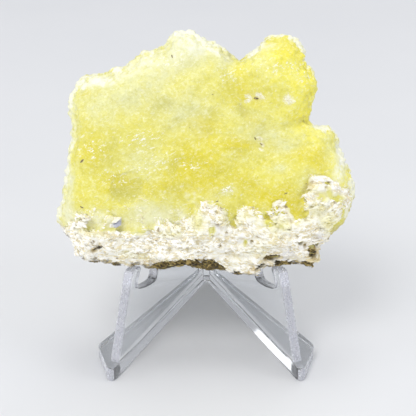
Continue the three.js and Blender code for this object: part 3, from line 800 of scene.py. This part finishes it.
def lapping_lobes(places, rim):
    """How far the lobes stand out at their edges, and the olive tone of a sunken one."""
    rise, olive = np.zeros((2, len(places)))
    for across, up, radius, step in LOBES:
        beyond = np.hypot(places[:, 0] - across, places[:, 1] - up) - radius
        beyond -= 0.8 * lumps(places, 3, 7) + 0.35 * lumps(places, 1.1, 32)
        rise += step * ease(0.5, -0.1, beyond) * ease(-7, 0, beyond) * (1 - rim)
        if step < 0:
            sunk = ease(0.5, -0.7, beyond) * ease(4, -1, places[:, 1] - up)
            sunk *= 0.75 + 0.4 * lumps(places, 2.2, 33)
            olive = np.maximum(olive, 0.65 * sunk * ease(0, 5, places[:, 2]))
    return rise, olive


def frost_and_edge_light(places, edge):
    """How white the yellow mass's edge is at each point: partly frosty, partly painted light through the
    thin edge.
    """
    frost_and_light = ease(FROST_AND_EDGE_LIGHT_WIDTH, 0, edge - 0.6 * lumps(places, 3.2, 8))
    frost_and_light *= 0.5 + 0.5 * ease(-0.3, 0.3, lumps(places, 3.5, 28))
    corners = patch_mask(places, FROSTED_AND_EDGE_LIT) * (0.8 + 0.6 * lumps(places, 1.1, 36))
    return frost_and_light * (1 - 0.7 * patch_mask(places, LESS_FROST_AND_EDGE_LIGHT)) + corners


def dusting(places, cover):
    """How dusty the yellow is at each point: close to the crust, mostly at the left."""
    dust = ease(-5, 1, cover + 2.2 * lumps(places, 2, 23))
    dust *= ease(-0.6, 0.5, lumps(places, 1, 24)) * ease(8, -6, places[:, 0])
    return np.maximum(dust, 0.85 * patch_mask(places, DUSTED))


def shape_brucite(skin, places, cover, room):
    """The yellow mass: lumpy, scalloped along its edges, with a finely sugary face."""
    levelled = skin.smoothed(skin.points, LEVELLING)
    start = skin.points + patch_mask(places, FILLED)[:, None] * (levelled - skin.points)
    edge = outline_distances(places)
    rim = ease(RIM_WIDTH, 0.6, edge)
    behind = ease(-1.5, -4, places[:, 2])
    lobes, gloom = lapping_lobes(places, rim)
    rise = sugary_relief(places, rim) + behind * broken_back(places) + lobes
    rise -= CRUST_DEPTH * ease(0.2, 1.9, cover)
    points = raised(start, skin.smoothed(skin.normals(), 2), rise, room)
    shape = Skin(points, skin.quads)
    # Painted shade on front faces that turn down: a dull yellow-brown there, and a less white edge.
    underside_shade = ease(0.1, 0.5, -skin.smoothed(skin.normals(), 3)[:, 2])
    underside_shade *= ease(-4, 1, places[:, 2])
    whiter = 0.7 * behind * ease(0.2, 0.9, clouds(places, 7, 47))
    masks = {
        "rim": frost_and_edge_light(places, edge) * (1 - underside_shade),
        # painted shade: darker yellow where the relief sinks below its surroundings
        "hollow_shade": ease(0, 0.2, sunken(shape)),
        "pale": patch_mask(places, PALE) + behind * ease(-0.1, 0.7, clouds(places, 9, 44)),
        "white_patches": patch_mask(places, WHITE_PATCHES) + whiter,
        # painted light: where the yellow is brightened as if lit through
        "painted_glow": patch_mask(places, PAINTED_GLOW_PATCHES),
        "deep": patch_mask(places, DEEP) + behind * ease(-0.1, 0.6, clouds(places, 8, 61)),
        "olive": np.maximum(patch_mask(places, OLIVE, 0.8), gloom),
        "glint": patch_mask(places, [(*field[:4], 0, 1) for field in GLINT_FIELDS]),
        "dust": dusting(places, cover),
        "scar": patch_mask(places, SCARS, 0.3),
        # painted shade under the down-turned faces, with the real stains
        "stain_and_underside_shade": np.maximum(0.7 * underside_shade, 0.9 * patch_mask(places, STAINED)),
    }
    return shape, masks


def rock_mask(places, down):
    """1 on the brown host rock: below the crust's foot, on the underside and in the ROCK patches."""
    foot = np.interp(places[:, 0], *np.array(CRUST_FOOT).T)
    ragged = 0.6 * lumps(places, 2.2, 20) + 0.5 * lumps(places, 1, 29)
    below = ease(-0.1, 0.6, foot - places[:, 1] + ragged)
    under = down * ease(-0.6, 0.1, lumps(places, 3, 19))
    patches = ease(0.3, 0.55, patch_mask(places, ROCK, 0.8))
    return np.clip(patches + np.maximum(below, under), 0, 1)


def crust_relief(places, cover, down, rock):
    """How far the crust stands out in layers and knobs, and where its pits are."""
    edge = ease(0, 2.5, cover)
    waves = lumps(places, (3.4, 1.4, 1.4), 14)
    grit = lumps(places, 0.8, 15)
    mounds = billows(places, (2.6, 1.5, 1.5), 16) - 0.55
    pebbles = billows(places, 1.1, 22) - 0.55
    layer = places[:, 1] + 0.2 * places[:, 0] + 1.5 * lumps(places, 7, 30)
    along = np.column_stack((places[:, 0], layer, places[:, 2]))
    ledges = 0.5 - 2 * np.abs(lumps(along, (3.6, 1.1, 3), 34))
    rise = edge * (0.25 + 0.35 * waves + 0.35 * mounds + 0.45 * ledges)
    rise += 0.16 * (0.25 + 0.75 * edge) * grit + 0.35 * (0.3 + 0.7 * edge) * pebbles
    rise -= 0.45 * ease(0.2, -CRUST_OVERLAP, cover)
    pit = ease(0.3, 0.14, knobs(places, (2.4, 1.7, 1.7), 17))
    pit *= ease(-0.1, 0.4, lumps(places, 5, 18) + down)
    rock_depth = (0.9 + 0.5 * lumps(places, 1.1, 27)) * ease(0.6, 0, down)
    return rise - 0.55 * pit - rock_depth * rock, pit


def shape_crust(skin, places, cover, gulfs, room):
    """The crust: a thin-edged, knobbly coat over the foot of the specimen, with islands and gulfs."""
    normals = skin.smoothed(skin.normals(), 2)
    down = ease(0.45, 0.85, -normals[:, 2])
    rock = rock_mask(places, down)
    rise, pit = crust_relief(places, cover, down, rock)
    outside = raised(skin.points, normals, rise, room)
    chosen = (cover > -CRUST_OVERLAP)[skin.quads].all(axis=1)
    chosen[chosen] = islands_kept(skin.quads[chosen])
    points, faces, used = closed_shell(skin, outside, chosen)
    yellow = np.clip(gulfs * 0.25, 0, 0.7) + (1 - ease(-0.2, 1.8, cover)) * 0.8
    yellow += patch_mask(places, TINTED) * (0.6 + 0.5 * lumps(places, 1.5, 35))
    sunk = sunken(Skin(outside, skin.quads))
    masks = {
        "pit": pit,
        # painted light on the crests and painted shade in the hollows, for the crust's colour
        "crest_light": ease(0.02, 0.3, -sunk),
        "hollow_shade": ease(0.02, 0.3, sunk),
        "rock": rock,
        "grey": patch_mask(places, GREY),
        "stain": patch_mask(places, STAINED, 0.8),
        "yellow": np.clip(yellow, 0, 1),
    }
    doubled = {name: np.tile(values[used], 2) for name, values in masks.items()}
    return points, faces, doubled, outside


def angular_grains(spots, first, normals, length, random):
    """An uneven eight-sided grain at each spot, longest along its first direction."""
    corners = np.array(((1, 0, 0), (0, 1, 0), (-1, 0, 0), (0, -1, 0), (0, 0, 1), (0, 0, -1)))
    sides = [(k, (k + 1) % 4, 4) for k in range(4)] + [((k + 1) % 4, k, 5) for k in range(4)]
    shapes = corners * (1 + 0.25 * random.normal(0, 1, (GRAINS, len(corners), 1)))
    slim = random.uniform(0.4, 0.8, (GRAINS, 1))
    axes = np.stack((first * 1.35, np.cross(normals, first) * slim, normals * 0.5), axis=1)
    points = spots[:, None] + (shapes * length[:, None, None]) @ axes
    faces = np.array(sides)[None] + (len(corners) * np.arange(GRAINS))[:, None, None]
    return points.reshape(-1, 3), faces.reshape(-1, 3)


def crust_grains(skin, outside, places, cover, room, random):
    """Small angular grains half sunk in the crust, thinning out over the yellow beside it."""
    fields = patch_mask(places, GRAIN_FIELDS)
    scars = patch_mask(places, SCARS, 0.2)
    weights = ease(-2.5, 1, cover) ** 2 + 0.55 * fields
    weights *= ease(0.15, 0.5, room) * ease(-0.5, 0.4, lumps(places, 1.8, 25))
    weights += 3 * scars**2
    chosen = np.searchsorted(np.cumsum(weights), random.uniform(0, weights.sum(), GRAINS))
    normals = unit(skin.smoothed(skin.normals(), 2)[chosen] + random.normal(0, 0.35, (GRAINS, 3)))
    lie = math.radians(-12) + 0.6 * lumps(places[chosen], 6, 26) + random.normal(0, 0.35, GRAINS)
    first = np.cos(lie)[:, None] * ACROSS + np.sin(lie)[:, None] * UP
    first = unit(first - normals * (first * normals).sum(axis=1, keepdims=True))
    length = np.clip(random.lognormal(-1.15, 0.4, GRAINS), 0.16, 0.8) * MM
    length *= 0.6 + 0.4 * ease(-1, 1, cover[chosen])
    spots = outside[chosen] + normals * length[:, None] * 0.1
    points, faces = angular_grains(spots, first, normals, length, random)
    yellow = (1 - ease(-2, 0.6, cover)) * 0.75 * (1 - 0.8 * np.maximum(scars, fields))
    masks = {
        "tone": random.uniform(0, 1, GRAINS),
        "yellow": np.maximum(yellow, 0.8 * patch_mask(places, TINTED))[chosen],
        "stain": patch_mask(places, STAINED, 0.8)[chosen],
        "rock": rock_mask(places, ease(0.45, 0.85, -skin.normals()[:, 2]))[chosen],
    }
    corners = len(points) // GRAINS
    return points, faces, {name: np.repeat(values, corners) for name, values in masks.items()}


def on_face(skin, across, up):
    """The nearest point of the skin's front to a place on its face, and the way it faces."""
    places = face_places(skin.points)
    apart = np.hypot(places[:, 0] - across, places[:, 1] - up) + np.where(places[:, 2] < 0, 1e3, 0)
    index = np.argmin(apart)
    return skin.points[index], skin.normals()[index]


def cleavage_plates(skin, random):
    """Small thin six-sided plates lying nearly flat on the face, in their fields."""
    places = face_places(skin.points)
    normals = skin.normals()
    front = np.flatnonzero(places[:, 2] > 1)
    turns = np.arange(6) * math.tau / 6
    prism = [range(5, -1, -1), range(6, 12)]
    prism += [(k, (k + 1) % 6, (k + 1) % 6 + 6, k + 6) for k in range(6)]
    points, faces = [], []
    for across, up, half_width, half_height, count in GLINT_FIELDS:
        for _ in range(count):
            spot = (across, up) + random.normal(0, 0.5, 2) * (half_width, half_height)
            index = front[np.argmin(np.hypot(*(places[front, :2] - spot).T))]
            size = (0.1 + 0.3 * random.uniform() ** 3) * MM
            stretch = random.uniform(0.3, 0.9)
            normal = unit(normals[index] + random.normal(0, 0.22, 3))
            first = unit(np.cross(normal, random.normal(0, 1, 3)))
            second = np.cross(normal, first) * stretch
            ring = size * (np.outer(np.cos(turns), first) + np.outer(np.sin(turns), second))
            faces += [[len(points) + corner for corner in face] for face in prism]
            for level in PLATE_FACES:
                points.extend(skin.points[index] + ring + normal * level * MM)
    return np.array(points), faces


def turned(points, normal, turn):
    """Points turned so that their first axis lies in the face at that turn, and their third out of it."""
    first = ACROSS * math.cos(math.radians(turn)) + UP * math.sin(math.radians(turn))
    first = unit(first - normal * (first @ normal))
    return points @ np.array((first, np.cross(normal, first), normal))


def dark_slivers(skin, random):
    """Irregular dark slivers half sunk in the yellow."""
    slivers = bmesh.new()
    for across, up, length, turn in SPECKS:
        place, normal = on_face(skin, across, up)
        made = bmesh.ops.create_icosphere(slivers, subdivisions=2, radius=0.5 * length * MM)["verts"]
        shape = np.array([vertex.co for vertex in made])
        shape *= 1 + 0.3 * lumps(shape / MM + random.uniform(0, 50, 3), 0.4 * length, 21)[:, None]
        shape = turned(shape * (1, random.uniform(0.25, 0.4), 0.3), normal, turn)
        for vertex, spot in zip(made, shape):
            vertex.co = Vector(spot + place)
    return taken(slivers)


def chips(skin, random):
    """Angular broken bits of the pale crust, lodged on the yellow."""
    points, faces, slaty = np.empty((0, 3)), [], []
    for across, up, length, width, thickness, turn, slate in CHIPS:
        place, normal = on_face(skin, across, up)
        corners = np.array([(x, y, z) for x in (-1, 1) for y in (-1, 1) for z in (-1, 1)])
        corners = corners * random.uniform(0.45, 1, (8, 3)) * (length, width, thickness)
        shape = turned(corners * MM / 2, normal, turn)
        chip = bmesh.new()
        lift = normal * CHIP_LIFT * thickness * MM
        made = [chip.verts.new(spot + place + lift) for spot in shape]
        bmesh.ops.convex_hull(chip, input=made)
        loose = [vertex for vertex in chip.verts if not vertex.link_faces]
        bmesh.ops.delete(chip, geom=loose, context="VERTS")
        soft = CHIP_BEVEL * thickness * MM
        bmesh.ops.bevel(chip, geom=chip.edges[:], offset=soft, segments=2, profile=0.6, affect="EDGES")
        chip_points, chip_faces = taken(chip)
        faces += [[len(points) + corner for corner in face] for face in chip_faces]
        points = np.concatenate((points, chip_points))
        slaty += [slate] * len(chip_points)
    return points, faces, {"slaty": np.array(slaty)}


def taken(solid):
    """A bmesh's points and faces; the bmesh is freed."""
    solid.verts.index_update()
    points = np.array([vertex.co for vertex in solid.verts])
    faces = [[vertex.index for vertex in face.verts] for face in solid.faces]
    solid.free()
    return points, faces


# ------ stage


def add_lamp(name, place, width, power, colour):
    light = bpy.data.lights.new(name, "AREA")
    light.shape = "DISK"
    light.size = width
    light.energy = power
    light.color = colour
    lamp = bpy.data.objects.new(name, light)
    lamp.location = place
    lamp.rotation_euler = (LAMP_TARGET - Vector(place)).to_track_quat("-Z", "Y").to_euler()
    bpy.context.scene.collection.objects.link(lamp)


def add_camera():
    camera = bpy.data.cameras.new("camera")
    camera.lens = CAMERA_LENS
    camera.sensor_width = 36
    camera.clip_start = 10 * MM
    away = Vector((0, -math.cos(CAMERA_ELEVATION), math.sin(CAMERA_ELEVATION)))
    holder = bpy.data.objects.new("camera", camera)
    holder.location = CAMERA_TARGET + away * CAMERA_DISTANCE
    holder.rotation_euler = (-away).to_track_quat("-Z", "Y").to_euler()
    bpy.context.scene.collection.objects.link(holder)
    bpy.context.scene.camera = holder


def add_stage():
    """A plain pale floor under a pale sky, with soft lamps all round."""
    look = Look("floor")
    tone = look.blend(look.noise(60), (0.7, 0.71, 0.73), (0.74, 0.745, 0.76))
    look.shade(base_color=tone, roughness=0.55)
    corners = np.array([(-1, -1, 0), (1, -1, 0), (1, 1, 0), (-1, 1, 0)]) * FLOOR_SIZE / 2
    floor = piece("floor", corners - (0, 0, FLOOR_GAP), [[0, 1, 2, 3]], look.material, smooth=False)
    world = bpy.data.worlds.new("sky")
    world.use_nodes = True
    background = world.node_tree.nodes["Background"].inputs
    background["Color"].default_value = (*SKY_COLOUR, 1)
    background["Strength"].default_value = SKY_POWER
    bpy.context.scene.world = world
    for lamp in LAMPS:
        add_lamp(*lamp)
    bpy.context.scene.view_settings.view_transform = "Standard"


# ------ the object

random = np.random.default_rng(SEED)

add_camera()
add_stage()

skin, places, cover, gulfs, room = specimen_skin()

brucite_skin, brucite_masks = shape_brucite(skin, places, cover, room)
brucite = piece("brucite_mass", brucite_skin.points, brucite_skin.quads, brucite_look(), brucite_masks)
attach(brucite, "root")
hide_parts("brucite")

crust_points, crust_faces, crust_masks, crust_outside = shape_crust(skin, places, cover, gulfs, room)
crust = piece("crust", crust_points, crust_faces, crust_look(), crust_masks)
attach(crust, "root")
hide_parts("matrix")

outside = np.where((cover > 0.2)[:, None], crust_outside, brucite_skin.points)
points, faces, masks = crust_grains(skin, outside, places, cover, room, random)
grains = piece("crust_grains", points, faces, grain_look(), masks, smooth=False)
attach(grains, "root")

plates = piece("cleavage_plates", *cleavage_plates(brucite_skin, random), plate_look(), smooth=False)
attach(plates, "root")

slivers = piece("dark_slivers", *dark_slivers(brucite_skin, random), sliver_look())
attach(slivers, "root")

points, faces, masks = chips(brucite_skin, random)
bits = piece("chips", points, faces, chip_look(), masks, smooth=False)
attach(bits, "root")

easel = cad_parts["easel"]
easel.data.materials.clear()
easel.data.materials.append(acrylic_look())
